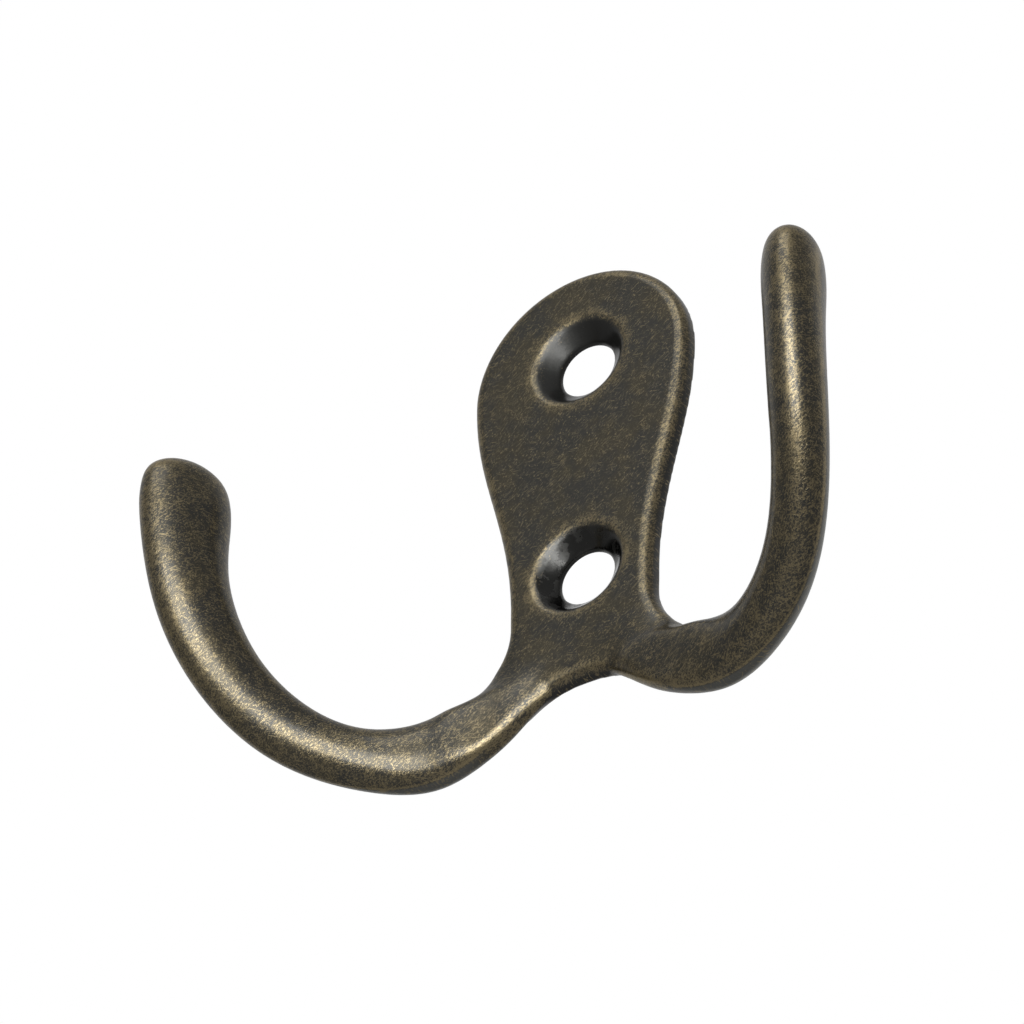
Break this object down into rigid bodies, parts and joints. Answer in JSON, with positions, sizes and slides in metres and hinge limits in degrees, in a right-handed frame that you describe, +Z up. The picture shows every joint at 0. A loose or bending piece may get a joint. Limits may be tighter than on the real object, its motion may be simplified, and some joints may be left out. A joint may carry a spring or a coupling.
{
  "type": "double coat hook",
  "caption": "Small one-piece double coat hook: a keyhole-shaped plate with countersunk screw holes and two arms that sweep sideways, forward and up.",
  "frame": {"origin": "midway between the two screw holes, on the back face that lies on the wall", "axes": "+Z up the wall, -Y out of the wall towards the user, +X to the right as the user sees it"},
  "size_m": [0.0586, 0.0191, 0.0443],
  "materials": {
    "antique_brass_finish": "dark antique brass, lacquered, satin"
  },
  "bodies": {
    "root": {"hook": "antique_brass_finish"}
  },
  "joints": []
}
